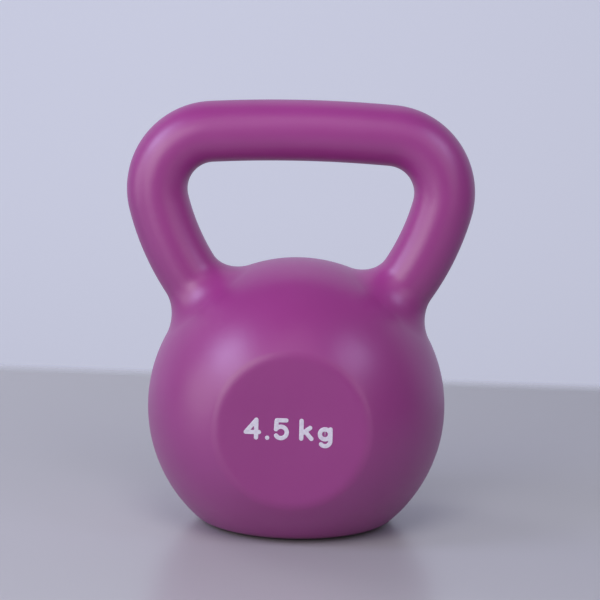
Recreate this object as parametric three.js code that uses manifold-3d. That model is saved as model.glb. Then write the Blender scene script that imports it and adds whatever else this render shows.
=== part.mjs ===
// Kettlebell: a seamless vinyl skin over a concrete casting that was poured around a bent steel handle rod.
// Millimetres, +Z up. The origin is on the floor under the middle of the ball. The handle's bar lies along X,
// and the face with the weight mark looks along -Y.
import * as THREE from "three";
import { mergeVertices } from "three/addons/utils/BufferGeometryUtils.js";
import Module from "manifold-3d";

const wasm = await Module();
wasm.setup();

// ---- Driving dimensions ----

const baseHeight = 0.5; // the skin's flat base; the base pad stands this far below it
const ballRadius = 75;
const ballHeight = 59; // centre of the ball above the floor
const faceDepth = 65; // the two round flat faces stand this far in front of and behind the middle

const barHeight = 198.4; // centreline of the handle's bar above the floor, at its middle
const gripRadius = 15.2;
const neckFillet = 12.4; // hollow round where the handle runs into the ball

// The handle's centreline from the middle of the bar outwards and down, as arcs that follow each other.
const barArc = { length: 45, radius: 665 };
const cornerArc = { length: 50.8, radius: 28.85 };
const legArc = { length: 110, radius: 122 };

const skinThickness = 2.5;
const gap = 0.3; // play between a piece and the neighbour that is shaped around it

const rodRadius = 8;
const rodLegLength = 60; // how far the rod follows the handle's leg before it bends back upright
const rodReturnRadius = 30;
const tieRadius = 4;
const tieLength = 100;
const ties = {
  tie_bar_lower: { height: 44, side: -1 },
  tie_bar_upper: { height: 74, side: 1 },
};
const weldGap = 0.1; // between a tie bar and the rod's legs

const insertRadius = 8;
const insertLength = 30;
const insertGroove = { from: 12, to: 20, depth: 1.5 }; // the concrete keys into it
const insertBoreRadius = 4.3;
const insertBoreLength = 26;

const plugHoleRadius = 9; // the opening that the dipping hanger leaves in the skin
const plugHeadThickness = 2.2;
const plugStemRadius = 4;
const plugStemLength = 14;
const plugTipRound = 1.5;

const padOuterRadius = 42;
const padInnerRadius = 14;
const padThickness = 1.5;
const padChamfer = 0.4;

const markCentre = { x: -1.6, z: 60 };
const markHeight = 10.8;
const markStroke = 2.1;
const markThickness = 0.3;

const halfWidth = 90; // half of the grid's width, a little more than the kettlebell's
const outerCell = 8; // grid of the ball and handle's outer surface
const innerCell = 11; // grid of the surfaces under the skin
const lineStep = 5; // chord length along the handle's centreline
const rodStep = 13; // spacing of the rod's sections
const roundSides = 12; // sides of a rod's section and of a letter's round end
const smallSides = 24; // sides of a small turned piece
const ringSides = 48; // sides of the large rings

const castingBase = baseHeight + skinThickness + gap;

// ---- Solids: joining and cutting ----

// A closed three.js geometry as a solid that can be joined and cut.
function solidOf(geometry) {
  const bare = new THREE.BufferGeometry();
  bare.setAttribute("position", geometry.getAttribute("position"));
  bare.setIndex(geometry.getIndex());
  const merged = mergeVertices(bare, 1e-3);
  const mesh = new wasm.Mesh({
    numProp: 3,
    vertProperties: merged.getAttribute("position").array,
    triVerts: new Uint32Array(merged.getIndex().array),
  });
  return new wasm.Manifold(mesh);
}

// The solid's surface as a geometry for a mesh.
function geometryOf(solid) {
  const mesh = solid.getMesh();
  const geometry = new THREE.BufferGeometry();
  geometry.setAttribute("position", new THREE.BufferAttribute(mesh.vertProperties, 3));
  geometry.setIndex(new THREE.BufferAttribute(mesh.triVerts, 1));
  geometry.computeVertexNormals();
  return geometry;
}

// A turned solid about +Z, from a profile of [radius, height] points listed from the bottom up the outside.
function turned(profile, sides) {
  const points = profile.map(([radius, height]) => new THREE.Vector2(radius, height));
  const geometry = new THREE.LatheGeometry(points, sides);
  geometry.rotateX(Math.PI / 2);
  return solidOf(geometry);
}

// ---- The handle's line and the outer surface ----

// Points along arcs that follow each other without a kink, from the middle of the bar towards +X.
// A positive radius bends the line down and inwards, and a negative one bends it back.
function arcLine(arcs) {
  const points = [new THREE.Vector3(0, 0, barHeight)];
  let heading = 0;
  for (const { length, radius } of arcs) {
    const count = Math.ceil(length / lineStep);
    const turn = length / count / radius;
    const chord = 2 * radius * Math.sin(turn / 2);
    for (let i = 0; i < count; i++) {
      const middle = heading + turn / 2;
      const last = points.at(-1);
      points.push(new THREE.Vector3(last.x + chord * Math.cos(middle), 0, last.z - chord * Math.sin(middle)));
      heading += turn;
    }
  }
  return points;
}

const handlePoints = arcLine([barArc, cornerArc, legArc]);
const handleChords = handlePoints.slice(1).map((end, i) => new THREE.Line3(handlePoints[i], end));
const ballCentre = new THREE.Vector3(0, 0, ballHeight);

// Distance from a point to the handle's surface, negative inside. Both halves of the handle are alike.
function handleDistance(point) {
  const mirrored = new THREE.Vector3(Math.abs(point.x), point.y, point.z);
  const foot = new THREE.Vector3();
  let nearest = Infinity;
  for (const chord of handleChords) {
    chord.closestPointToPoint(mirrored, true, foot);
    nearest = Math.min(nearest, foot.distanceTo(mirrored));
  }
  return nearest - gripRadius;
}

// Distance to the ball and handle, joined by a round fillet.
function roundDistance(point) {
  const ball = point.distanceTo(ballCentre) - ballRadius;
  const handle = handleDistance(point);
  const fillet = Math.hypot(Math.max(neckFillet - ball, 0), Math.max(neckFillet - handle, 0));
  return Math.max(neckFillet, Math.min(ball, handle)) - fillet;
}

const faceDistance = (point) => Math.abs(point.y) - faceDepth;
const baseDistance = (point) => baseHeight - point.z;
const bodyDistance = (point) => Math.max(roundDistance(point), faceDistance(point), baseDistance(point));

// A surface point is one of: on the round surface, on a flat (flat is the axis across it), or on the edge between.
function kindOf(crossings) {
  const onFace = crossings.filter((p) => faceDistance(p) > roundDistance(p)).length;
  const onBase = crossings.filter((p) => baseDistance(p) > roundDistance(p)).length;
  if (onFace > 0) return { flat: "y", edge: onFace < crossings.length };
  if (onBase > 0) return { flat: "z", edge: onBase < crossings.length };
  return { flat: null, edge: false };
}

// The point moved onto the surface of its kind, at the given depth under the skin's outside.
function settle(point, kind, depth) {
  const settled = point.clone();
  if (kind.flat === "y") settled.y = Math.sign(point.y) * (faceDepth - depth);
  if (kind.flat === "z") settled.z = baseHeight + depth;
  if (kind.flat && !kind.edge) return settled;
  const probe = 0.01;
  const rounds = 8;
  for (let round = 0; round < rounds; round++) {
    const miss = roundDistance(settled) + depth;
    const slope = new THREE.Vector3();
    for (const axis of ["x", "y", "z"]) {
      if (axis === kind.flat) continue;
      const ahead = settled.clone();
      ahead[axis] += probe;
      slope[axis] = (roundDistance(ahead) + depth - miss) / probe;
    }
    settled.addScaledVector(slope, -miss / slope.lengthSq());
  }
  return settled;
}

const isInside = (distance) => distance < 0;

// The corners of a square, in order around it.
const squareCorners = [
  [0, 0],
  [1, 0],
  [1, 1],
  [0, 1],
];

// A cubic grid around the body, with the distance to the surface at the given depth at each of its corners.
// An odd count in Y keeps the grid's planes well inside the handle, so that each crosses it in a wide strip.
function gridAround(depth, cell) {
  const margin = 2 * cell;
  const counts = [
    2 * Math.ceil((halfWidth + margin) / cell),
    2 * Math.ceil((faceDepth + margin) / cell) + 1,
    Math.ceil((barHeight + gripRadius + 2 * margin) / cell),
  ];
  const low = new THREE.Vector3((-counts[0] * cell) / 2, (-counts[1] * cell) / 2, -margin);
  const corner = ([i, j, k]) => new THREE.Vector3(i, j, k).multiplyScalar(cell).add(low);
  const index = ([i, j, k]) => (k * (counts[1] + 1) + j) * (counts[0] + 1) + i;
  const allCorners = positions([0, 0, 0], counts.map((count) => count + 1));
  const distances = allCorners.map((at) => bodyDistance(corner(at)) + depth);
  return { counts, corner, index, distances };
}

// Every grid position from one up to, but not including, another. X runs fastest and Z slowest.
function positions(from, to) {
  const found = [];
  for (let k = from[2]; k < to[2]; k++) {
    for (let j = from[1]; j < to[1]; j++) {
      for (let i = from[0]; i < to[0]; i++) {
        found.push([i, j, k]);
      }
    }
  }
  return found;
}

// A grid position moved by whole steps along two or three axes, counted from the given axis.
function stepped(at, axis, steps) {
  const moved = [...at];
  steps.forEach((step, n) => (moved[(axis + n) % 3] += step));
  return moved;
}

// The places where the surface crosses the twelve edges of the grid cell at a position.
function cellCrossings(grid, at) {
  const crossings = [];
  for (const axis of [0, 1, 2]) {
    for (const [a, b] of squareCorners) {
      const start = stepped(at, axis, [0, a, b]);
      const end = stepped(at, axis, [1, a, b]);
      const from = grid.distances[grid.index(start)];
      const to = grid.distances[grid.index(end)];
      if (isInside(from) === isInside(to)) continue;
      crossings.push(grid.corner(start).lerp(grid.corner(end), from / (from - to)));
    }
  }
  return crossings;
}

// Closed mesh of the surface at the given depth: one point in each grid cell that the surface passes through,
// and one four-sided face across each grid edge that it crosses.
function surfaceAt(depth, cell) {
  const grid = gridAround(depth, cell);
  const points = [];
  const kinds = [];
  const triangles = [];
  const pointOfCell = new Map();

  function addPoint(at) {
    const crossings = cellCrossings(grid, at);
    if (crossings.length === 0) return;
    const middle = new THREE.Vector3();
    for (const crossing of crossings) middle.addScaledVector(crossing, 1 / crossings.length);
    const kind = kindOf(crossings);
    pointOfCell.set(grid.index(at), points.length);
    points.push(settle(middle, kind, depth));
    kinds.push(kind);
  }

  function addFace(at, axis) {
    const startsInside = isInside(grid.distances[grid.index(at)]);
    const endsInside = isInside(grid.distances[grid.index(stepped(at, axis, [1]))]);
    if (startsInside === endsInside) return;
    const face = squareCorners.map(([a, b]) => pointOfCell.get(grid.index(stepped(at, axis, [0, -a, -b]))));
    if (endsInside) face.reverse();
    triangles.push(...splitFace(face, points, depth));
  }

  positions([0, 0, 0], grid.counts).forEach(addPoint);
  for (const at of positions([1, 1, 1], grid.counts)) {
    for (const axis of [0, 1, 2]) addFace(at, axis);
  }
  return { points, kinds, triangles };
}

// Two triangles for a four-sided face, split along the diagonal that stays closer to the surface.
function splitFace([a, b, c, d], points, depth) {
  const miss = (p, q) => Math.abs(bodyDistance(points[p].clone().lerp(points[q], 0.5)) + depth);
  return miss(a, c) <= miss(b, d) ? [a, b, c, a, c, d] : [a, b, d, b, c, d];
}

// The same mesh moved to another depth, so that the two surfaces run alike.
function movedTo(depth, { points, kinds, triangles }) {
  return { points: points.map((point, i) => settle(point, kinds[i], depth)), kinds, triangles };
}

function solidOfSurface({ points, triangles }) {
  const geometry = new THREE.BufferGeometry();
  geometry.setFromPoints(points);
  geometry.setIndex(triangles);
  return solidOf(geometry);
}

// Everything above a height.
function slabAbove(height) {
  const reach = 500;
  const box = new THREE.BoxGeometry(reach, reach, reach);
  box.translate(0, 0, height + reach / 2);
  return solidOf(box);
}

// ---- The steel inside the handle and ball ----

// The bent rod's centreline: along the bar, round the corner, down inside the leg, then upright to the foot.
function rodLine(footHeight) {
  const legPart = { length: rodLegLength, radius: legArc.radius };
  const heading = [barArc, cornerArc, legPart].reduce((sum, arc) => sum + arc.length / arc.radius, 0);
  const returnLength = (heading - Math.PI / 2) * rodReturnRadius;
  const half = arcLine([barArc, cornerArc, legPart, { length: returnLength, radius: -rodReturnRadius }]);
  const bend = half.at(-1);
  const foot = bend.clone().setZ(footHeight);
  const count = Math.round(bend.distanceTo(foot) / rodStep);
  for (let i = 1; i <= count; i++) half.push(bend.clone().lerp(foot, i / count));
  const mirrored = half.slice(1).map((p) => new THREE.Vector3(-p.x, p.y, p.z));
  return new THREE.CatmullRomCurve3([...mirrored.reverse(), ...half]);
}

// A rod of the given radius along the handle, which reaches a little below the casting's base.
function rodSolid(radius) {
  const below = 2;
  const line = rodLine(castingBase - below);
  const section = new THREE.Shape().absarc(0, 0, radius, 0, 2 * Math.PI);
  const steps = Math.round(line.getLength() / rodStep);
  const options = { steps, curveSegments: roundSides / 2, extrudePath: line };
  return solidOf(new THREE.ExtrudeGeometry(section, options));
}

// A straight bar across the rod's two legs, on their front or rear side.
function tieSolid(height, side, clearance) {
  const radius = tieRadius + clearance;
  const bar = new THREE.CylinderGeometry(radius, radius, tieLength + 2 * clearance, roundSides);
  bar.rotateZ(Math.PI / 2);
  bar.translate(0, side * (rodRadius + tieRadius + weldGap), height);
  return solidOf(bar);
}

// The outline of the threaded insert, which stands in the middle of the casting's base.
function insertOutline(clearance) {
  const { from, to, depth } = insertGroove;
  const radius = insertRadius + clearance;
  return [
    [radius, castingBase - 2 * clearance],
    [radius, castingBase + from + clearance],
    [radius - depth, castingBase + from + depth + clearance],
    [radius - depth, castingBase + to - depth - clearance],
    [radius, castingBase + to - clearance],
    [radius, castingBase + insertLength + clearance],
    [0, castingBase + insertLength + clearance],
  ];
}

function makeInsert() {
  const bore = [
    [0, castingBase + insertBoreLength],
    [insertBoreRadius, castingBase + insertBoreLength],
    [insertBoreRadius, castingBase],
  ];
  return turned([...bore, ...insertOutline(0)], smallSides);
}

// ---- The skin, the casting and the pieces at the base ----

function makeSkin(outer, inner) {
  const aboveBase = castingBase + gap;
  const hole = [
    [0, 0],
    [plugHoleRadius, 0],
    [plugHoleRadius, aboveBase],
    [0, aboveBase],
  ];
  const recess = [
    [padInnerRadius - gap, 0],
    [padOuterRadius + gap, 0],
    [padOuterRadius + gap, padThickness + gap],
    [padInnerRadius - gap, padThickness + gap],
    [padInnerRadius - gap, 0],
  ];
  const shell = solidOfSurface(outer).subtract(solidOfSurface(inner));
  return shell.subtract(turned(hole, smallSides)).subtract(turned(recess, ringSides));
}

function makeCasting(inner) {
  let casting = solidOfSurface(inner).subtract(rodSolid(rodRadius + gap));
  for (const { height, side } of Object.values(ties)) casting = casting.subtract(tieSolid(height, side, gap));
  return casting.subtract(turned([[0, castingBase - 2 * gap], ...insertOutline(gap)], smallSides));
}

// The soft plug: a flat head in the skin's opening, and a stem with a rounded tip in the insert's bore.
function makePlug() {
  const top = castingBase - gap;
  const tip = top + plugStemLength;
  const profile = [
    [0, top - plugHeadThickness],
    [plugHoleRadius - gap, top - plugHeadThickness],
    [plugHoleRadius - gap, top],
    [plugStemRadius, top],
    [plugStemRadius, tip - plugTipRound],
    [plugStemRadius - plugTipRound, tip],
    [0, tip],
  ];
  return turned(profile, smallSides);
}

// The non-slip ring under the base, with its lower edges broken.
function makePad() {
  const profile = [
    [padInnerRadius + padChamfer, 0],
    [padOuterRadius - padChamfer, 0],
    [padOuterRadius, padChamfer],
    [padOuterRadius, padThickness],
    [padInnerRadius, padThickness],
    [padInnerRadius, padChamfer],
    [padInnerRadius + padChamfer, 0],
  ];
  return turned(profile, ringSides);
}

// ---- The weight mark: a plain number and unit drawn with a round pen ----

const penRadius = markStroke / 2;

// A flat piece of ink on the front face, from outlines in the face's plane.
function ink(shapes) {
  const solids = shapes.map((shape) => {
    const options = { depth: markThickness, bevelEnabled: false, curveSegments: roundSides / 2 };
    const geometry = new THREE.ExtrudeGeometry(shape, options);
    geometry.rotateX(Math.PI / 2);
    return solidOf(geometry);
  });
  return solids.reduce((joined, solid) => joined.add(solid));
}

// A straight pen stroke with round ends.
function stroke(x1, z1, x2, z2) {
  const angle = Math.atan2(z2 - z1, x2 - x1);
  const shape = new THREE.Shape();
  shape.absarc(x1, z1, penRadius, angle + Math.PI / 2, angle + (3 * Math.PI) / 2);
  shape.absarc(x2, z2, penRadius, angle - Math.PI / 2, angle + Math.PI / 2);
  return shape;
}

// A pen stroke along part of a circle, counterclockwise between two angles in degrees, with round ends.
function bow(x, z, radius, from, to) {
  const [start, end] = [from, to].map(THREE.MathUtils.degToRad);
  const shape = new THREE.Shape();
  shape.absarc(x, z, radius + penRadius, start, end);
  shape.absarc(x + radius * Math.cos(end), z + radius * Math.sin(end), penRadius, end, end + Math.PI);
  shape.absarc(x, z, radius - penRadius, end, start, true);
  shape.absarc(x + radius * Math.cos(start), z + radius * Math.sin(start), penRadius, start + Math.PI, start);
  return shape;
}

// A pen stroke right round a circle.
function ring(x, z, radius) {
  const shape = new THREE.Shape().absarc(x, z, radius + penRadius, 0, 2 * Math.PI);
  shape.holes.push(new THREE.Path().absarc(x, z, radius - penRadius, 0, 2 * Math.PI));
  return shape;
}

// Each letter is drawn from x = 0 to its width, with its foot at z = 0. Where two strokes meet, their round
// ends are a little apart, so that no two outlines run along each other.
const foot = penRadius;
const head = markHeight - penRadius;
const glyphs = [
  {
    name: "mark_digit_4",
    width: 8.4,
    space: 1.9,
    outlines: [
      stroke(6, foot, 6, head),
      stroke(5.8, head - 0.3, foot, 3.7),
      stroke(1.5, 3.7, 7.35, 3.7),
    ],
  },
  {
    name: "mark_point",
    width: markStroke,
    space: 1.9,
    outlines: [stroke(foot, foot, foot, foot)],
  },
  {
    name: "mark_digit_5",
    width: 7.4,
    space: 5,
    outlines: [
      stroke(1.6, head, 6.1, head),
      stroke(1.45, head - 0.4, 1.3, 5.8),
      bow(3.6, foot + 2.8, 2.8, -145, 148),
    ],
  },
  {
    name: "mark_letter_k",
    width: 7,
    space: 1.9,
    outlines: [
      stroke(foot, foot, foot, head),
      stroke(1.4, 3.5, 5.2, 6.4),
      stroke(3.1, 4.3, 5.9, foot),
    ],
  },
  {
    name: "mark_letter_g",
    width: 7.1,
    space: 0,
    outlines: [
      ring(3.5, 3.5, 2.45),
      stroke(6.1, 5.95, 6.1, 0.9),
      bow(3.6, 0.2, 2.5, -140, 20),
    ],
  },
];

// ---- The kettlebell ----

const vinyl = new THREE.MeshStandardMaterial({ color: 0x8c3f7d, roughness: 0.45, metalness: 0 });
const concrete = new THREE.MeshStandardMaterial({ color: 0x8c8a86, roughness: 0.95, metalness: 0 });
const steel = new THREE.MeshStandardMaterial({ color: 0x74767a, roughness: 0.45, metalness: 0.9 });
const zinc = new THREE.MeshStandardMaterial({ color: 0xb9bcc0, roughness: 0.35, metalness: 0.95 });
const rubber = new THREE.MeshStandardMaterial({ color: 0x222224, roughness: 0.85, metalness: 0 });
const printInk = new THREE.MeshStandardMaterial({ color: 0xe2dcea, roughness: 0.5, metalness: 0 });

const kettlebell = new THREE.Group();

function addPiece(name, solid, material) {
  const mesh = new THREE.Mesh(geometryOf(solid), material);
  mesh.name = name;
  kettlebell.add(mesh);
  return mesh;
}

const outerSurface = surfaceAt(0, outerCell);
const castingSurface = surfaceAt(skinThickness + gap, innerCell);
const liningSurface = movedTo(skinThickness, castingSurface);

addPiece("vinyl_skin", makeSkin(outerSurface, liningSurface), vinyl);
addPiece("ballast_casting", makeCasting(castingSurface), concrete);
addPiece("handle_rod", rodSolid(rodRadius).intersect(slabAbove(castingBase)), steel);
for (const [name, { height, side }] of Object.entries(ties)) addPiece(name, tieSolid(height, side, 0), steel);
addPiece("hanger_insert", makeInsert(), zinc);
addPiece("base_plug", makePlug(), rubber);
addPiece("base_pad", makePad(), rubber);

const markWidth = glyphs.reduce((sum, { width, space }) => sum + width + space, 0);
let left = markCentre.x - markWidth / 2;
for (const { name, width, space, outlines } of glyphs) {
  const letter = addPiece(name, ink(outlines), printInk);
  letter.position.set(left, -faceDepth, markCentre.z - markHeight / 2);
  left += width + space;
}

export default kettlebell;
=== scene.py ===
"""A vinyl-dipped kettlebell on a pale table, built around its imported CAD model.

Metres, +Z up. The handle's bar lies along X and the face with the weight mark looks along -Y.
"""

import math

import bmesh
import bpy
import numpy as np
from mathutils import Matrix, Vector


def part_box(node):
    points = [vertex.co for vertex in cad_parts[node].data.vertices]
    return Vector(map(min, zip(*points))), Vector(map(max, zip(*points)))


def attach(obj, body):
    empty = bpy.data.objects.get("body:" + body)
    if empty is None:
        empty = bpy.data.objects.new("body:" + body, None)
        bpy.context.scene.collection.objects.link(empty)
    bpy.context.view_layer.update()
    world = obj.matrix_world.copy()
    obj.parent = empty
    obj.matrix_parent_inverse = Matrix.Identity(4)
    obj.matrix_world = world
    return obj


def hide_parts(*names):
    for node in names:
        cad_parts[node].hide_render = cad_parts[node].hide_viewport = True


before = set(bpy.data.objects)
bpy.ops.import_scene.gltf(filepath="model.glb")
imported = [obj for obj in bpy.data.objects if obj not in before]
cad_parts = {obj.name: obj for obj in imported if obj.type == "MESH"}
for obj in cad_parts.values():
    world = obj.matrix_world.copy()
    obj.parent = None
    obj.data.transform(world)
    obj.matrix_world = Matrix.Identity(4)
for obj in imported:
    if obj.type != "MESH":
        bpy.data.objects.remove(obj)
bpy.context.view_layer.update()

MM = 0.001
WELD = 0.001 * MM  # vertices closer together than this are one
BODY = "root"

# ---- Driving dimensions ----

SKIN_LOW, SKIN_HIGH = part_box("vinyl_skin")
PLUG_LOW, PLUG_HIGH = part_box("base_plug")
PAD_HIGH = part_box("base_pad")[1]

BASE_HEIGHT = SKIN_LOW.z  # the skin's flat base
FACE_DEPTH = SKIN_HIGH.y  # of the two flat faces, in front of and behind the middle
BALL_RADIUS = 75 * MM
BALL_HEIGHT = 59 * MM
BALL_CENTRE = Vector((0, 0, BALL_HEIGHT))
BAR_HEIGHT = 198.4 * MM  # the handle's line at the middle of the bar
GRIP_RADIUS = 15.2 * MM
NECK_FILLET = 12.4 * MM  # hollow round where the handle runs into the ball
FACE_EDGE = 1.3 * MM  # round between the ball and a flat face
BASE_EDGE = 3.2 * MM  # round between the ball and the base
SKIN_THICKNESS = 2.5 * MM

# The handle's line from the middle of the bar outwards and down: the length and radius of each arc.
HANDLE_LINE = [(45 * MM, 665 * MM), (50.8 * MM, 28.85 * MM), (110 * MM, 122 * MM)]

SKIN_CELL = np.array([1.3, 1.3, 1.3]) * MM  # grid of the skin's outer surface

HOLE_RADIUS = 9 * MM  # the skin's opening round the plug
HOLE_LIP = 0.9 * MM  # round at the opening's mouth
CUT_BELOW = -2 * MM  # how far down the cutters of the skin's base reach
PAD_OUTER = PAD_HIGH.x
PAD_INNER = 14 * MM
PAD_GAP = 0.3 * MM  # between the pad and the recess that holds it
PLUG_HEAD_TOP = 3 * MM

INK_THICKNESS = 0.14 * MM
INK_EDGE = 0.05 * MM  # round along the ink's edges
INK_SUNK = 0.02 * MM  # how far the ink reaches into the skin
INK_CELL = np.array([0.2, 0.05, 0.2]) * MM

# ---- The body's surface as a distance ----


def handle_arcs():
    """Each arc of the handle's line, as its centre, its radius and the headings at its two ends."""
    arcs = []
    x, z, heading = 0.0, BAR_HEIGHT, 0.0
    for length, radius in HANDLE_LINE:
        centre_x = x - radius * math.sin(heading)
        centre_z = z - radius * math.cos(heading)
        end = heading + length / radius
        arcs.append((centre_x, centre_z, radius, heading, end))
        x = centre_x + radius * math.sin(end)
        z = centre_z + radius * math.cos(end)
        heading = end
    return arcs


HANDLE_ARCS = handle_arcs()


def handle_distance(points):
    """Distance to the handle's surface. Its two halves are alike."""
    side, height = np.abs(points[:, 0]), points[:, 2]
    nearest = np.full(len(points), np.inf)
    for centre_x, centre_z, radius, start, end in HANDLE_ARCS:
        heading = np.arctan2(side - centre_x, height - centre_z).clip(start, end)
        across = side - centre_x - radius * np.sin(heading)
        along = height - centre_z - radius * np.cos(heading)
        nearest = np.minimum(nearest, np.hypot(across, along))
    return np.hypot(nearest, points[:, 1]) - GRIP_RADIUS


def joined(a, b, radius):
    """Two distances joined, with a round in the inside corner."""
    blend = np.hypot(np.maximum(radius - a, 0), np.maximum(radius - b, 0))
    return np.maximum(radius, np.minimum(a, b)) - blend


def trimmed(a, b, radius):
    """One distance cut by another, with a round on the outside corner."""
    blend = np.hypot(np.maximum(radius + a, 0), np.maximum(radius + b, 0))
    return np.minimum(-radius, np.maximum(a, b)) + blend


def body_distance(points):
    """Distance to the outside of the skin, negative inside."""
    centred = points - np.array([0, 0, BALL_HEIGHT])
    ball = np.linalg.norm(centred, axis=1) - BALL_RADIUS
    ball = trimmed(ball, np.abs(points[:, 1]) - FACE_DEPTH, FACE_EDGE)
    ball = trimmed(ball, BASE_HEIGHT - points[:, 2], BASE_EDGE)
    return joined(ball, handle_distance(points), NECK_FILLET)


# ---- Mesh of a distance's zero surface ----

SQUARE = [(0, 0), (1, 0), (1, 1), (0, 1)]


def shifted(array, axis, steps):
    """A grid array moved by steps along the axes, counted from one axis, and one cell shorter along each."""
    part = [slice(None)] * 3
    for n, step in enumerate(steps):
        at = (axis + n) % 3
        part[at] = slice(step, array.shape[at] - 1 + step)
    return array[tuple(part)]


def cell_points(values, cell, low):
    """One point in each grid cell that the surface passes through, and each such cell's number."""
    shape = tuple(n - 1 for n in values.shape)
    total = np.zeros(shape + (3,))
    hits = np.zeros(shape)
    for axis in range(3):
        for a, b in SQUARE:
            start = shifted(values, axis, (0, a, b))
            end = shifted(values, axis, (1, a, b))
            crossed = (start < 0) != (end < 0)
            span = np.where(crossed, start - end, 1.0)
            total[..., axis] += np.where(crossed, start / span, 0.0)
            total[..., (axis + 1) % 3] += crossed * a
            total[..., (axis + 2) % 3] += crossed * b
            hits += crossed
    used = np.argwhere(hits > 0)
    number = np.full(shape, -1)
    number[tuple(used.T)] = np.arange(len(used))
    mean = total[tuple(used.T)] / hits[tuple(used.T)][:, None]
    return low + cell * (used + mean), number


def edge_faces(values, number):
    """A four-sided face across each grid edge that the surface crosses, facing out."""
    faces = []
    steps = np.eye(3, dtype=int)
    for axis in range(3):
        starts_inside = shifted(values, axis, (0, 0, 0)) < 0
        ends_inside = shifted(values, axis, (1, 0, 0)) < 0
        crossed = np.argwhere(starts_inside != ends_inside)
        crossed = crossed[(crossed > 0).all(axis=1)]
        u = steps[(axis + 1) % 3]
        v = steps[(axis + 2) % 3]
        quads = np.stack([number[tuple((crossed - a * u - b * v).T)] for a, b in SQUARE], axis=1)
        inwards = values[tuple(crossed.T)] >= 0
        quads[inwards] = quads[inwards][:, ::-1]
        faces.append(quads)
    return np.concatenate(faces)


def settled(points, distance):
    """The points moved along the distance's slope until they lie on its surface."""
    probe = 0.01 * MM
    rounds = 5
    for _ in range(rounds):
        miss = distance(points)
        rises = [distance(points + probe * axis) - miss for axis in np.eye(3)]
        slope = np.stack(rises, axis=1) / probe
        points = points - slope * (miss / (slope**2).sum(axis=1))[:, None]
    return points


def surface_mesh(name, distance, low, high, cell):
    """A closed mesh of the surface where the distance is zero, from a grid of cells between two corners."""
    counts = np.ceil((high - low) / cell).astype(int) + 1
    axes = [low[n] + cell[n] * np.arange(counts[n]) for n in range(3)]
    grid = np.stack(np.meshgrid(*axes, indexing="ij"), axis=-1).reshape(-1, 3)
    values = distance(grid).reshape(counts)
    points, number = cell_points(values, cell, low)
    mesh = bpy.data.meshes.new(name)
    mesh.from_pydata(settled(points, distance).tolist(), [], edge_faces(values, number).tolist())
    return mesh


# ---- Pieces ----


def add_piece(name, mesh, material, slot, *nodes):
    """Links a mesh as a piece of the kettlebell that stands for some CAD nodes."""
    piece = bpy.data.objects.new(name, mesh)
    bpy.context.scene.collection.objects.link(piece)
    piece.data.materials.clear()
    piece.data.materials.append(material)
    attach(piece, BODY)
    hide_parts(*nodes)


def turned_mesh(name, profile, sides=96):
    """A closed mesh turned about +Z, from (radius, height) points listed from the bottom up the outside."""
    shape = bmesh.new()
    points = [shape.verts.new((radius, 0, height)) for radius, height in profile]
    edges = [shape.edges.new(pair) for pair in zip(points, points[1:])]
    bmesh.ops.spin(
        shape, geom=points + edges, cent=(0, 0, 0), axis=(0, 0, 1), angle=2 * math.pi, steps=sides
    )
    bmesh.ops.remove_doubles(shape, verts=shape.verts, dist=WELD)
    bmesh.ops.recalc_face_normals(shape, faces=shape.faces)
    mesh = bpy.data.meshes.new(name)
    shape.to_mesh(mesh)
    shape.free()
    return mesh


def shade(mesh, angle=35):
    """Smooth shading, kept crisp at edges sharper than an angle in degrees."""
    mesh.shade_smooth()
    mesh.set_sharp_from_angle(angle=math.radians(angle))


def cut(name, target, cutters):
    """The target mesh without what other closed meshes cut away."""
    scratch = bpy.data.objects.new(name, target)
    bpy.context.scene.collection.objects.link(scratch)
    helpers = []
    for cutter in cutters:
        helper = bpy.data.objects.new(cutter.name, cutter)
        bpy.context.scene.collection.objects.link(helper)
        helpers.append(helper)
        change = scratch.modifiers.new(cutter.name, "BOOLEAN")
        change.operation = "DIFFERENCE"
        change.solver = "EXACT"
        change.object = helper
    view = bpy.context.evaluated_depsgraph_get()
    result = bpy.data.meshes.new_from_object(scratch.evaluated_get(view))
    result.name = name
    for helper in [scratch, *helpers]:
        bpy.data.objects.remove(helper)
    return result


def clean(mesh):
    """Splits the many-sided faces that a cut leaves, and removes its slivers."""
    sliver = 0.005 * MM  # width below which a face is one
    shape = bmesh.new()
    shape.from_mesh(mesh)
    many_sided = [face for face in shape.faces if len(face.verts) > 4]
    bmesh.ops.triangulate(shape, faces=many_sided)
    bmesh.ops.remove_doubles(shape, verts=shape.verts, dist=sliver)
    bmesh.ops.dissolve_degenerate(shape, edges=shape.edges, dist=sliver)
    shape.to_mesh(mesh)
    shape.free()


def round_corner(centre, radius, start, end, steps=4):
    """Profile points round part of a circle, between two angles in degrees."""
    angles = np.radians(np.linspace(start, end, steps + 1))
    return [(centre[0] + radius * math.cos(a), centre[1] + radius * math.sin(a)) for a in angles]


# ---- Materials ----


def shader_of(material):
    """The one shader of a material."""
    return material.node_tree.nodes["Principled BSDF"]


def new_material(name, colour, roughness, metallic=0.0):
    """A material with these values all over its surface."""
    material = bpy.data.materials.new(name)
    material.use_nodes = True
    sockets = shader_of(material).inputs
    sockets["Base Color"].default_value = (*colour, 1)
    sockets["Roughness"].default_value = roughness
    sockets["Metallic"].default_value = metallic
    return material


def noise(material, size, detail=3.0, roughness=0.5):
    """A noise texture whose features are about the given size, in metres. Returns its value."""
    nodes, links = material.node_tree.nodes, material.node_tree.links
    place = nodes.new("ShaderNodeTexCoord")
    texture = nodes.new("ShaderNodeTexNoise")
    texture.inputs["Scale"].default_value = 1 / size
    texture.inputs["Detail"].default_value = detail
    texture.inputs["Roughness"].default_value = roughness
    links.new(place.outputs["Object"], texture.inputs["Vector"])
    return texture.outputs["Fac"]


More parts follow.
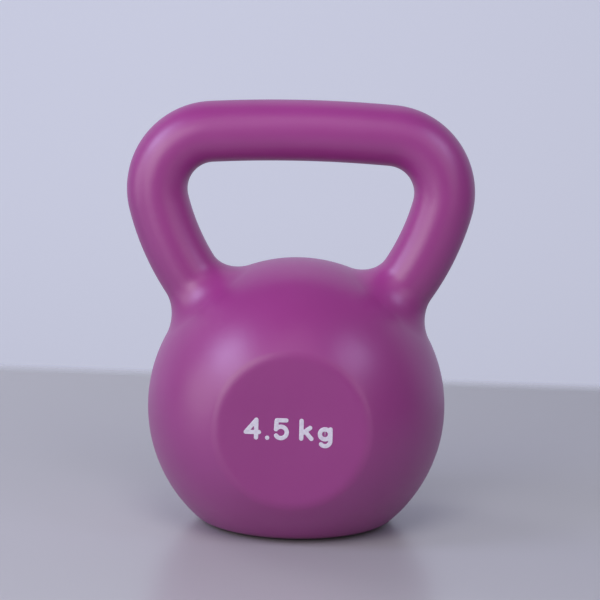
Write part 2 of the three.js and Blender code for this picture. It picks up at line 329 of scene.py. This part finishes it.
def vary_colour(material, value, low, high, dark, light):
    """Base colour from one colour to another, as a value goes from low to high."""
    nodes, links = material.node_tree.nodes, material.node_tree.links
    blend = nodes.new("ShaderNodeValToRGB")
    blend.color_ramp.elements[0].position = low
    blend.color_ramp.elements[1].position = high
    blend.color_ramp.elements[0].color = (*dark, 1)
    blend.color_ramp.elements[1].color = (*light, 1)
    links.new(value, blend.inputs["Fac"])
    links.new(blend.outputs["Color"], shader_of(material).inputs["Base Color"])


def vary_roughness(material, value, low, high):
    """Roughness from low to high, as a value goes from 0 to 1."""
    nodes, links = material.node_tree.nodes, material.node_tree.links
    scale = nodes.new("ShaderNodeMapRange")
    scale.inputs["To Min"].default_value = low
    scale.inputs["To Max"].default_value = high
    links.new(value, scale.inputs["Value"])
    links.new(scale.outputs["Result"], shader_of(material).inputs["Roughness"])


def bump(material, layers):
    """Bump from several height values, each with its depth in metres."""
    nodes, links = material.node_tree.nodes, material.node_tree.links
    normal = None
    for height, depth in layers:
        layer = nodes.new("ShaderNodeBump")
        layer.inputs["Distance"].default_value = depth
        links.new(height, layer.inputs["Height"])
        if normal is not None:
            links.new(normal, layer.inputs["Normal"])
        normal = layer.outputs["Normal"]
    links.new(normal, shader_of(material).inputs["Normal"])


def vinyl_material():
    """Satin magenta plastisol: a faint orange peel, a fine grain, and small differences in gloss."""
    material = new_material("vinyl", (0.305, 0.029, 0.215), 0.38)
    sockets = shader_of(material).inputs
    sockets["Specular IOR Level"].default_value = 1.05
    sockets["Sheen Weight"].default_value = 0.05
    sockets["Sheen Roughness"].default_value = 0.5
    sockets["Sheen Tint"].default_value = (0.9, 0.75, 1.0, 1)
    cloud = noise(material, 60 * MM, detail=2)
    vary_colour(material, cloud, 0.3, 0.7, (0.295, 0.028, 0.208), (0.319, 0.032, 0.226))
    gloss = noise(material, 18 * MM, detail=4)
    vary_roughness(material, gloss, 0.33, 0.43)
    peel = noise(material, 5 * MM, detail=1)
    grain = noise(material, 0.35 * MM, detail=2)
    bump(material, [(peel, 0.03 * MM), (grain, 0.012 * MM)])
    return material


def ink_material():
    """Off-white pad-printing ink, slightly uneven in cover."""
    material = new_material("ink", (0.72, 0.68, 0.78), 0.5)
    cover = noise(material, 1.2 * MM)
    vary_colour(material, cover, 0.3, 0.6, (0.66, 0.60, 0.72), (0.76, 0.72, 0.82))
    vary_roughness(material, cover, 0.45, 0.6)
    bump(material, [(noise(material, 0.3 * MM), 0.01 * MM)])
    return material


def rubber_material():
    """Matt black rubber, with mould grain and a dusty cast."""
    material = new_material("rubber", (0.02, 0.02, 0.022), 0.8)
    dust = noise(material, 12 * MM, detail=5, roughness=0.65)
    vary_colour(material, dust, 0.35, 0.75, (0.016, 0.016, 0.018), (0.05, 0.048, 0.047))
    vary_roughness(material, dust, 0.7, 0.92)
    bump(material, [(noise(material, 0.5 * MM, detail=4), 0.05 * MM)])
    return material


def concrete_material():
    """Grey cast concrete with sand grains and small pits."""
    material = new_material("concrete", (0.27, 0.26, 0.24), 0.95)
    nodes, links = material.node_tree.nodes, material.node_tree.links
    place = nodes.new("ShaderNodeTexCoord")
    grains = nodes.new("ShaderNodeTexVoronoi")
    grains.inputs["Scale"].default_value = 1 / (3 * MM)
    links.new(place.outputs["Object"], grains.inputs["Vector"])
    cloud = noise(material, 8 * MM, detail=6, roughness=0.65)
    vary_colour(material, cloud, 0.3, 0.7, (0.19, 0.18, 0.165), (0.34, 0.33, 0.31))
    vary_roughness(material, cloud, 0.85, 1.0)
    bump(material, [(grains.outputs["Distance"], 0.4 * MM), (cloud, 0.3 * MM)])
    return material


def steel_material():
    """Hot-rolled bar: dull grey scale with rust-brown patches."""
    material = new_material("rod_steel", (0.2, 0.2, 0.21), 0.5, metallic=0.85)
    scale = noise(material, 6 * MM, detail=6, roughness=0.6)
    vary_colour(material, scale, 0.4, 0.72, (0.17, 0.17, 0.18), (0.23, 0.15, 0.11))
    vary_roughness(material, scale, 0.35, 0.75)
    bump(material, [(scale, 0.1 * MM), (noise(material, 0.8 * MM), 0.03 * MM)])
    return material


def zinc_material():
    """Zinc-plated steel with a faint spangle."""
    material = new_material("insert_steel", (0.5, 0.51, 0.52), 0.35, metallic=1.0)
    spangle = noise(material, 2 * MM)
    vary_colour(material, spangle, 0.3, 0.7, (0.44, 0.45, 0.47), (0.56, 0.57, 0.58))
    vary_roughness(material, spangle, 0.28, 0.45)
    bump(material, [(spangle, 0.02 * MM)])
    return material


# ---- The skin ----


def lining_mesh():
    """The skin's inner surface, which runs along the casting, closed over the opening and facing out."""
    shape = bmesh.new()
    shape.from_mesh(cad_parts["vinyl_skin"].data)
    bmesh.ops.remove_doubles(shape, verts=shape.verts, dist=WELD)
    shape.verts.ensure_lookup_table()
    places = np.array([vert.co for vert in shape.verts])
    lining_depth = 0.7 * SKIN_THICKNESS  # everything that lies deeper is the lining's
    is_outside = body_distance(places) >= -lining_depth
    outside = [vert for vert, is_out in zip(shape.verts, is_outside) if is_out]
    bmesh.ops.delete(shape, geom=outside, context="VERTS")
    bmesh.ops.holes_fill(shape, edges=shape.edges)
    bmesh.ops.recalc_face_normals(shape, faces=shape.faces)
    mesh = bpy.data.meshes.new("lining")
    shape.to_mesh(mesh)
    shape.free()
    return mesh


def hole_cutter():
    """What the dipping hanger leaves open in the skin's base: a hole with a round mouth."""
    above = BASE_HEIGHT + 2 * SKIN_THICKNESS
    mouth_radius = HOLE_RADIUS + HOLE_LIP
    profile = [
        (0, CUT_BELOW),
        (mouth_radius, CUT_BELOW),
        *round_corner((mouth_radius, BASE_HEIGHT + HOLE_LIP), HOLE_LIP, 270, 180, steps=6),
        (HOLE_RADIUS, above),
        (0, above),
    ]
    return turned_mesh("hole", profile)


def recess_cutter():
    """The shallow ring that the pad is glued into."""
    inner = PAD_INNER - PAD_GAP
    outer = PAD_OUTER + PAD_GAP
    top = PAD_HIGH.z + PAD_GAP
    corner = 0.3 * MM
    profile = [
        (inner, CUT_BELOW),
        (outer, CUT_BELOW),
        *round_corner((outer - corner, top - corner), corner, 0, 90),
        *round_corner((inner + corner, top - corner), corner, 90, 180),
        (inner, CUT_BELOW),
    ]
    return turned_mesh("recess", profile, sides=192)


def skin_mesh():
    """The vinyl shell over ball and handle, open at the base where the plug and the pad go."""
    margin = 4 * SKIN_CELL
    low = np.array(SKIN_LOW) - margin
    high = np.array(SKIN_HIGH) + margin
    outer = surface_mesh("outer", body_distance, low, high, SKIN_CELL)
    skin = cut("skin", outer, [lining_mesh(), hole_cutter(), recess_cutter()])
    clean(skin)
    return skin


# ---- The weight mark: a number and a unit drawn with a round pen ----

# These are in millimetres, with a letter's left side at x = 0 and its foot at z = 0.
PEN_RADIUS = 1.05
MARK_HEIGHT = 10.8
FOOT = PEN_RADIUS  # height of the pen's centre along a letter's foot
HEAD = MARK_HEIGHT - PEN_RADIUS  # and along its head

# Each letter's node, its width, the space after it, and its strokes, which are lines (x, z, x, z) and arcs
# (x, z, radius, from, to), counterclockwise between two angles in degrees.
LETTERS = [
    (
        "mark_digit_4",
        8.4,
        1.9,
        [(6, FOOT, 6, HEAD), (5.8, HEAD - 0.3, FOOT, 3.7), (1.5, 3.7, 7.35, 3.7)],
    ),
    (
        "mark_point",
        2.1,
        1.9,
        [(FOOT, FOOT, 0, 0, 360)],
    ),
    (
        "mark_digit_5",
        7.4,
        5,
        [(1.6, HEAD, 6.1, HEAD), (1.45, HEAD - 0.4, 1.3, 5.8), (3.6, FOOT + 2.8, 2.8, -145, 148)],
    ),
    (
        "mark_letter_k",
        7,
        1.9,
        [(FOOT, FOOT, FOOT, HEAD), (1.4, 3.5, 5.2, 6.4), (3.1, 4.3, 5.9, FOOT)],
    ),
    (
        "mark_letter_g",
        7.1,
        0,
        [(3.5, 3.5, 2.45, 0, 360), (6.1, 5.95, 6.1, 0.9), (3.6, 0.2, 2.5, -140, 20)],
    ),
]
ARC_NUMBERS = 5  # how many numbers give an arc


def line_distance(x, z, x1, z1, x2, z2):
    """Distance to a straight line between two points."""
    run, rise = x2 - x1, z2 - z1
    along = ((x - x1) * run + (z - z1) * rise) / (run**2 + rise**2)
    along = along.clip(0, 1)
    return np.hypot(x - x1 - along * run, z - z1 - along * rise)


def arc_distance(x, z, centre_x, centre_z, radius, start, end):
    """Distance to an arc between two angles in degrees."""
    middle = math.radians((start + end) / 2)
    half = math.radians((end - start) / 2)
    turn = np.arctan2(z - centre_z, x - centre_x) - middle
    turn = (turn + math.pi) % (2 * math.pi) - math.pi
    angle = middle + turn.clip(-half, half)
    return np.hypot(x - centre_x - radius * np.cos(angle), z - centre_z - radius * np.sin(angle))


def ink_distance(points, left, foot, strokes):
    """Distance to the film of ink that the strokes leave on the front face."""
    x = (points[:, 0] - left) / MM
    z = (points[:, 2] - foot) / MM
    to_line = np.full(len(points), np.inf)
    for stroke in strokes:
        stroke_distance = arc_distance if len(stroke) == ARC_NUMBERS else line_distance
        to_line = np.minimum(to_line, stroke_distance(x, z, *stroke))
    middle = -FACE_DEPTH + INK_SUNK - INK_THICKNESS / 2
    film = np.abs(points[:, 1] - middle) - INK_THICKNESS / 2
    return trimmed((to_line - PEN_RADIUS) * MM, film, INK_EDGE)


def letter_mesh(node, left, foot, strokes):
    """One letter's ink, in the box of the CAD node that it replaces."""

    def distance(points):
        return ink_distance(points, left, foot, strokes)

    low, high = (np.array(corner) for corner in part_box(node))
    low[1] = -FACE_DEPTH - INK_THICKNESS
    high[1] = -FACE_DEPTH + INK_SUNK
    margin = 3 * INK_CELL
    return surface_mesh(node + "_ink", distance, low - margin, high + margin, INK_CELL)


def add_letters(material):
    """Adds the letters from left to right."""
    first_node = LETTERS[0][0]
    left, _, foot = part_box(first_node)[0]
    for node, width, space, strokes in LETTERS:
        mesh = letter_mesh(node, left, foot, strokes)
        shade(mesh, angle=50)
        add_piece(node + "_ink", mesh, material, "ink", node)
        left += (width + space) * MM


# ---- The rubber ring and the plug in the base ----


def pad_mesh():
    """A flat ring with broken edges and round grooves in its underside."""
    top = PAD_HIGH.z
    lower_edge = 0.4 * MM
    upper_edge = 0.15 * MM
    groove_radius = 0.6 * MM
    groove_depth = 0.45 * MM
    groove_count = 7
    spacing = (PAD_OUTER - PAD_INNER) / (groove_count + 1)
    half_width = math.sqrt(groove_radius**2 - (groove_radius - groove_depth) ** 2)
    half_angle = math.degrees(math.asin(half_width / groove_radius))
    profile = round_corner((PAD_INNER + lower_edge, lower_edge), lower_edge, 180, 270)
    for n in range(1, groove_count + 1):
        centre = (PAD_INNER + n * spacing, groove_depth - groove_radius)
        profile += round_corner(centre, groove_radius, 90 + half_angle, 90 - half_angle, steps=6)
    profile += round_corner((PAD_OUTER - lower_edge, lower_edge), lower_edge, 270, 360)
    profile += round_corner((PAD_OUTER - upper_edge, top - upper_edge), upper_edge, 0, 90, steps=3)
    profile += round_corner((PAD_INNER + upper_edge, top - upper_edge), upper_edge, 90, 180, steps=3)
    return turned_mesh("pad", [*profile, profile[0]], sides=192)


def plug_mesh():
    """A soft plug: a flat head with a finger ring, and a stem with barbs and a round tip."""
    low, top = PLUG_LOW.z, PLUG_HIGH.z
    head_radius = PLUG_HIGH.x
    head_edge = 0.5 * MM
    ring_radius = 5.2 * MM
    ring_half = 0.7 * MM  # half of the finger ring's width at its mouth
    ring_depth = 0.5 * MM
    stem_radius = 3.3 * MM
    barb_radius = 4 * MM
    barb_count = 4
    tip_round = 1.5 * MM
    profile = [
        (0, low),
        (ring_radius - ring_half, low),
        (ring_radius - ring_half / 2, low + ring_depth),
        (ring_radius + ring_half / 2, low + ring_depth),
        (ring_radius + ring_half, low),
        *round_corner((head_radius - head_edge, low + head_edge), head_edge, 270, 360),
        *round_corner((head_radius - head_edge, PLUG_HEAD_TOP - head_edge), head_edge, 0, 90),
    ]
    pitch = (top - PLUG_HEAD_TOP) / (barb_count + 1)
    for n in range(1, barb_count + 1):
        height = PLUG_HEAD_TOP + n * pitch
        profile += [
            (stem_radius, height - pitch / 2),
            (barb_radius, height - pitch / 4),
            (stem_radius, height + pitch / 2),
        ]
    profile += round_corner((stem_radius - tip_round, top - tip_round), tip_round, 0, 90)
    profile += [(0, top)]
    return turned_mesh("plug", profile)


# ---- The kettlebell ----

skin = skin_mesh()
shade(skin)
add_piece("skin", skin, vinyl_material(), "vinyl", "vinyl_skin")
add_letters(ink_material())

rubber = rubber_material()
for piece_name, mesh, node in [
    ("pad_ring", pad_mesh(), "base_pad"),
    ("plug", plug_mesh(), "base_plug"),
]:
    shade(mesh)
    add_piece(piece_name, mesh, rubber, "rubber", node)

steel = steel_material()
for node, material in {
    "ballast_casting": concrete_material(),
    "handle_rod": steel,
    "tie_bar_lower": steel,
    "tie_bar_upper": steel,
    "hanger_insert": zinc_material(),
}.items():
    carried_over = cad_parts[node].data
    carried_over.materials.clear()
    carried_over.materials.append(material)

# ---- Stage ----

HALF_WIDTH = 4.0  # of the table and of the backdrop
TABLE_FRONT = -3
TABLE_BACK = 0.37
TABLE_SLOPE = -0.045  # of the table's back edge
TABLE_FADE = 0.04  # depth of the soft band along the table's back edge
TABLE_COLOUR = (0.46, 0.45, 0.465)
TABLE_ROUGHNESS = 0.28
WALL = 1.6  # how far behind the ball the backdrop stands
WALL_LOW, WALL_HIGH = -2, 3


def add_plane(name, corners, material):
    """A flat face of the stage, which is no part of the kettlebell."""
    mesh = bpy.data.meshes.new(name)
    mesh.from_pydata(corners, [], [tuple(range(len(corners)))])
    plane = bpy.data.objects.new(name, mesh)
    plane.data.materials.append(material)
    bpy.context.scene.collection.objects.link(plane)
    return plane


def fade_out(material, depth):
    """Makes a material fade out between its object's origin and a depth along the object's own Y axis."""
    nodes, links = material.node_tree.nodes, material.node_tree.links
    place = nodes.new("ShaderNodeTexCoord")
    split = nodes.new("ShaderNodeSeparateXYZ")
    cover = nodes.new("ShaderNodeMapRange")
    cover.interpolation_type = "SMOOTHSTEP"
    cover.inputs["From Max"].default_value = depth
    cover.inputs["To Min"].default_value = 1
    cover.inputs["To Max"].default_value = 0
    links.new(place.outputs["Object"], split.inputs["Vector"])
    links.new(split.outputs["Y"], cover.inputs["Value"])
    links.new(cover.outputs["Result"], shader_of(material).inputs["Alpha"])


def add_table():
    """The table, with a soft band along its back edge, which runs a little askew."""
    left_back = TABLE_BACK - TABLE_SLOPE * HALF_WIDTH
    right_back = TABLE_BACK + TABLE_SLOPE * HALF_WIDTH
    corners = [
        (-HALF_WIDTH, TABLE_FRONT, 0),
        (HALF_WIDTH, TABLE_FRONT, 0),
        (HALF_WIDTH, right_back, 0),
        (-HALF_WIDTH, left_back, 0),
    ]
    add_plane("table", corners, new_material("table", TABLE_COLOUR, TABLE_ROUGHNESS))
    band_corners = [
        (-HALF_WIDTH, 0, 0),
        (HALF_WIDTH, 0, 0),
        (HALF_WIDTH, TABLE_FADE, 0),
        (-HALF_WIDTH, TABLE_FADE, 0),
    ]
    band_material = new_material("table_edge", TABLE_COLOUR, TABLE_ROUGHNESS)
    fade_out(band_material, TABLE_FADE)
    band = add_plane("table_edge", band_corners, band_material)
    band.location = (0, TABLE_BACK, 0)
    band.rotation_euler = (0, 0, math.atan(TABLE_SLOPE))


def add_backdrop():
    """A pale bluish wall that glows a little."""
    material = new_material("backdrop", (0.6, 0.62, 0.73), 0.9)
    sockets = shader_of(material).inputs
    sockets["Emission Color"].default_value = (0.81, 0.83, 1, 1)
    sockets["Emission Strength"].default_value = 0.4
    corners = [
        (-HALF_WIDTH, WALL, WALL_LOW),
        (HALF_WIDTH, WALL, WALL_LOW),
        (HALF_WIDTH, WALL, WALL_HIGH),
        (-HALF_WIDTH, WALL, WALL_HIGH),
    ]
    add_plane("backdrop", corners, material)


add_table()
add_backdrop()

# ---- Light ----

WHITE = (1, 1, 1)
VIOLET = (0.65, 0.66, 1)
PALE_BLUE = (0.9, 0.93, 1.0)

# Softboxes that look at the ball: azimuth, elevation and distance, then diameter, power and colour.
BALL_LIGHTS = {
    "key": (294, 37, 1.1, 0.5, 3.5, VIOLET),
    "left": (285, 10, 1.1, 0.6, 1.3, WHITE),
    "fill": (57, 41, 0.7, 0.27, 0.58, VIOLET),
    "back_top": (180, 64, 1.45, 0.75, 0.45, WHITE),
    "front_left": (325, 18, 2.2, 1.5, 13.2, WHITE),
    "front_top": (0, 52, 0.6, 0.3, 1.1, WHITE),
    "front_right": (35, 18, 2.2, 1.5, 4, WHITE),
}

# Softboxes that look at the stage: place and target, then diameter, power and colour.
STAGE_LIGHTS = {
    "wall": ((-0.6, 0.6, 0.6), (0, WALL, 0), 0.4, 1.1, PALE_BLUE),
    "table_light": ((-0.75, 0.55, 0.7), (-0.3, 0.15, 0), 0.5, 2, WHITE),
}
HIDDEN_IN_REFLECTIONS = ["front_top", "table_light"]


def around_ball(azimuth, elevation, distance):
    """A place at a distance from the ball: azimuth 0 is in front of it and 90 on its +X side."""
    azimuth, elevation = math.radians(azimuth), math.radians(elevation)
    level = distance * math.cos(elevation)
    rise = distance * math.sin(elevation)
    return Vector((level * math.sin(azimuth), -level * math.cos(azimuth), BALL_CENTRE.z + rise))


def add_softbox(name, place, target, size, energy, colour):
    """A round soft light that looks at a point."""
    data = bpy.data.lights.new(name, "AREA")
    data.shape = "DISK"
    data.size = size
    data.energy = energy
    data.color = colour
    light = bpy.data.objects.new(name, data)
    light.location = place
    light.rotation_euler = (Vector(target) - place).to_track_quat("-Z", "Y").to_euler()
    light.visible_glossy = name not in HIDDEN_IN_REFLECTIONS
    bpy.context.scene.collection.objects.link(light)


for light_name, (azimuth, elevation, distance, size, energy, colour) in BALL_LIGHTS.items():
    place = around_ball(azimuth, elevation, distance)
    add_softbox(light_name, place, BALL_CENTRE, size, energy, colour)
for light_name, (place, target, size, energy, colour) in STAGE_LIGHTS.items():
    add_softbox(light_name, Vector(place), target, size, energy, colour)

world = bpy.data.worlds.new("studio")
world.use_nodes = True
background = world.node_tree.nodes["Background"].inputs
background["Color"].default_value = (0.86, 0.88, 1.0, 1)
background["Strength"].default_value = 0.15
bpy.context.scene.world = world

# ---- Camera ----


def add_camera():
    """The camera stands before the marked face and looks slightly down at the ball and handle."""
    azimuth, elevation, distance = 1.8, 11.29, 1.2  # from the ball's centre, as for the softboxes
    aim = Vector((0.8 * MM, 0, 112.94 * MM))
    roll = Matrix.Rotation(math.radians(1.2), 3, "Z")
    image_width = 600
    pixel = 0.5074 * MM  # what a pixel of the image spans at the ball's distance
    sensor_width = 36
    data = bpy.data.cameras.new("camera")
    data.sensor_width = sensor_width
    data.lens = sensor_width * distance / (pixel * image_width)
    camera = bpy.data.objects.new("camera", data)
    place = around_ball(azimuth, elevation, distance)
    camera.location = place
    look = (aim - place).to_track_quat("-Z", "Y").to_matrix()
    camera.rotation_euler = (look @ roll).to_euler()
    bpy.context.scene.collection.objects.link(camera)
    bpy.context.scene.camera = camera


add_camera()
bpy.context.scene.view_settings.view_transform = "Standard"
